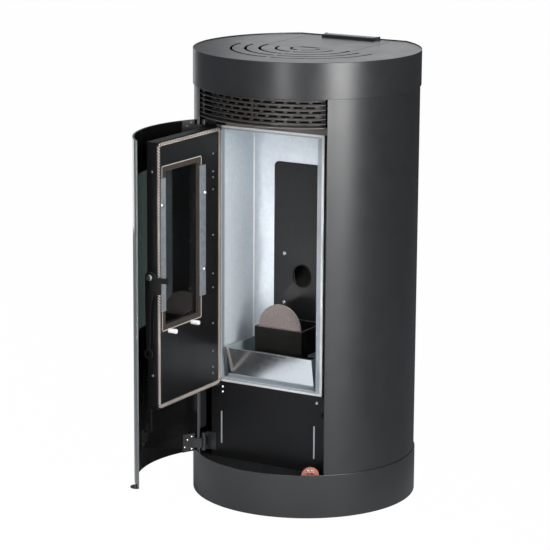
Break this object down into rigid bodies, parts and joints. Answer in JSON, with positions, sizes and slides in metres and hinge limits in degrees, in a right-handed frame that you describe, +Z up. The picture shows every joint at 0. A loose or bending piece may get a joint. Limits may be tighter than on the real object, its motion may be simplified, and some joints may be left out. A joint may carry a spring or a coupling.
{
  "type": "pellet stove",
  "caption": "Round free-standing pellet stove with flat back, curved outer glass door and flat inner fire door both open, firebox with burn pot and ash pan, slotted top with hopper lid",
  "frame": {"origin": "on the floor, on the axis of the round casing", "axes": "+Z up, front of the stove towards -Y, flat back towards +Y"},
  "size_m": [0.51, 0.7685, 1.0198],
  "materials": {
    "grey_powder_coat": "satin fine-textured powder coat",
    "pin_steel": "plain steel",
    "casing_enamel": "smooth satin paint",
    "black_paint": "satin black paint",
    "dark_glass": "black-edged curved ceramic glass",
    "clear_glass": "clear ceramic glass",
    "galvanised_sheet": "galvanised sheet",
    "fire_iron": "dark cast iron",
    "sooty_steel": "sooty steel",
    "flame_plate_steel": "heat-tinted steel",
    "screw_steel": "bright zinc plate",
    "latch_steel": "plain steel",
    "rope": "braided glass-fibre rope",
    "catch_plastic": "reddish brown plastic",
    "tab_paint": "black paint",
    "black_plastic": "matt black plastic",
    "motor_paint": "dark motor paint",
    "fan_steel": "plain steel",
    "board_green": "printed circuit board"
  },
  "bodies": {
    "stove": {"air_grille": "black_paint", "air_intake": "galvanised_sheet", "auger_gearmotor": "motor_paint", "auger_tube": "sooty_steel", "back_plate": "black_paint", "baffle": "galvanised_sheet", "base_plate": "galvanised_sheet", "board_bracket": "galvanised_sheet", "casing_screws": "screw_steel", "chute": "sooty_steel", "control_board": "board_green", "deck_plate": "grey_powder_coat", "feed_funnel": "galvanised_sheet", "firebox": "galvanised_sheet", "firebox_frame": "galvanised_sheet", "firebox_stand": "galvanised_sheet", "flue_spigot": "galvanised_sheet", "grille_back": "black_paint", "hopper": "galvanised_sheet", "igniter": "fan_steel", "inner_hinge_brackets": "black_paint", "left_side_panel": "casing_enamel", "lid_hinge_pin": "pin_steel", "lid_seal": "rope", "lower_front_panel": "black_paint", "magnetic_catch": "catch_plastic", "outer_hinge_brackets": "grey_powder_coat", "plinth_ring": "grey_powder_coat", "pot_shelf": "galvanised_sheet", "power_inlet": "black_plastic", "rear_panel": "galvanised_sheet", "right_side_panel": "casing_enamel", "room_fan_housing": "galvanised_sheet", "room_fan_motor": "motor_paint", "smoke_duct": "galvanised_sheet", "smoke_fan_housing": "galvanised_sheet", "smoke_fan_motor": "motor_paint", "top_plate": "grey_powder_coat", "top_ring": "grey_powder_coat"},
    "outer_door": {"outer_door": "dark_glass", "outer_hinge_leaves": "black_paint", "hinge_leaf_screws": "screw_steel", "pull_tab": "tab_paint"},
    "inner_door": {"inner_door": "black_paint", "door_gasket": "rope", "glass_gasket": "rope", "door_glass": "clear_glass", "glass_strips": "galvanised_sheet", "door_screws": "screw_steel", "latch_pivot": "latch_steel"},
    "latch": {"latch_lever": "black_paint"},
    "lid": {"hopper_lid": "grey_powder_coat", "lid_hinge_bar": "grey_powder_coat"},
    "ash_pan": {"ash_pan": "galvanised_sheet"},
    "burn_pot": {"burn_pot": "fire_iron"},
    "flame_plate": {"burn_pot_plate": "flame_plate_steel"},
    "feed_screw": {"auger_screw": "pin_steel"},
    "smoke_wheel": {"smoke_impeller": "fan_steel"},
    "air_drum": {"room_fan_impeller": "pin_steel"},
    "rocker": {"switch_rocker": "black_plastic"}
  },
  "joints": [
    {"name": "outer_door_hinge", "type": "hinge", "parent": "stove", "child": "outer_door", "pos_m": [-0.1585, -0.183, 0.484], "axis": [0, 0, -1], "range_deg": [-82.5, 0]},
    {"name": "inner_door_hinge", "type": "hinge", "parent": "stove", "child": "inner_door", "pos_m": [-0.12485, -0.17915, 0.558], "axis": [0, 0, -1], "range_deg": [-90, 0]},
    {"name": "latch_pivot_joint", "type": "hinge", "parent": "inner_door", "child": "latch", "pos_m": [-0.1309, -0.4455, 0.56], "axis": [0, 1, 0], "range_deg": [-6, 5.5]},
    {"name": "lid_hinge", "type": "hinge", "parent": "stove", "child": "lid", "pos_m": [0, 0.2086, 1.0163], "axis": [-1, 0, 0], "range_deg": [0, 75]},
    {"name": "ash_pan_slide", "type": "slide", "parent": "stove", "child": "ash_pan", "axis": [0, -1, 0], "range_m": [0, 0.15]},
    {"name": "burn_pot_lift", "type": "slide", "parent": "stove", "child": "burn_pot", "axis": [0, 0, 1], "range_m": [0, 0.06]},
    {"name": "flame_plate_lift", "type": "slide", "parent": "burn_pot", "child": "flame_plate", "axis": [0, 0, 1], "range_m": [0, 0.03]},
    {"name": "feed_screw_spin", "type": "hinge", "parent": "stove", "child": "feed_screw", "pos_m": [0, 0.09, 0.6], "axis": [0, 1, 0], "continuous": true},
    {"name": "smoke_wheel_spin", "type": "hinge", "parent": "stove", "child": "smoke_wheel", "pos_m": [-0.04, 0.06, 0.236], "axis": [0, 1, 0], "continuous": true},
    {"name": "air_drum_spin", "type": "hinge", "parent": "stove", "child": "air_drum", "pos_m": [0, -0.086, 0.158], "axis": [1, 0, 0], "continuous": true},
    {"name": "rocker_tilt", "type": "hinge", "parent": "stove", "child": "rocker", "pos_m": [-0.09, 0.2069, 0.162], "axis": [1, 0, 0], "range_deg": [0, 8]}
  ],
  "couplings": [
    {"joint": "inner_door_hinge", "follows": "outer_door_hinge", "ratio": 1.0909}
  ]
}
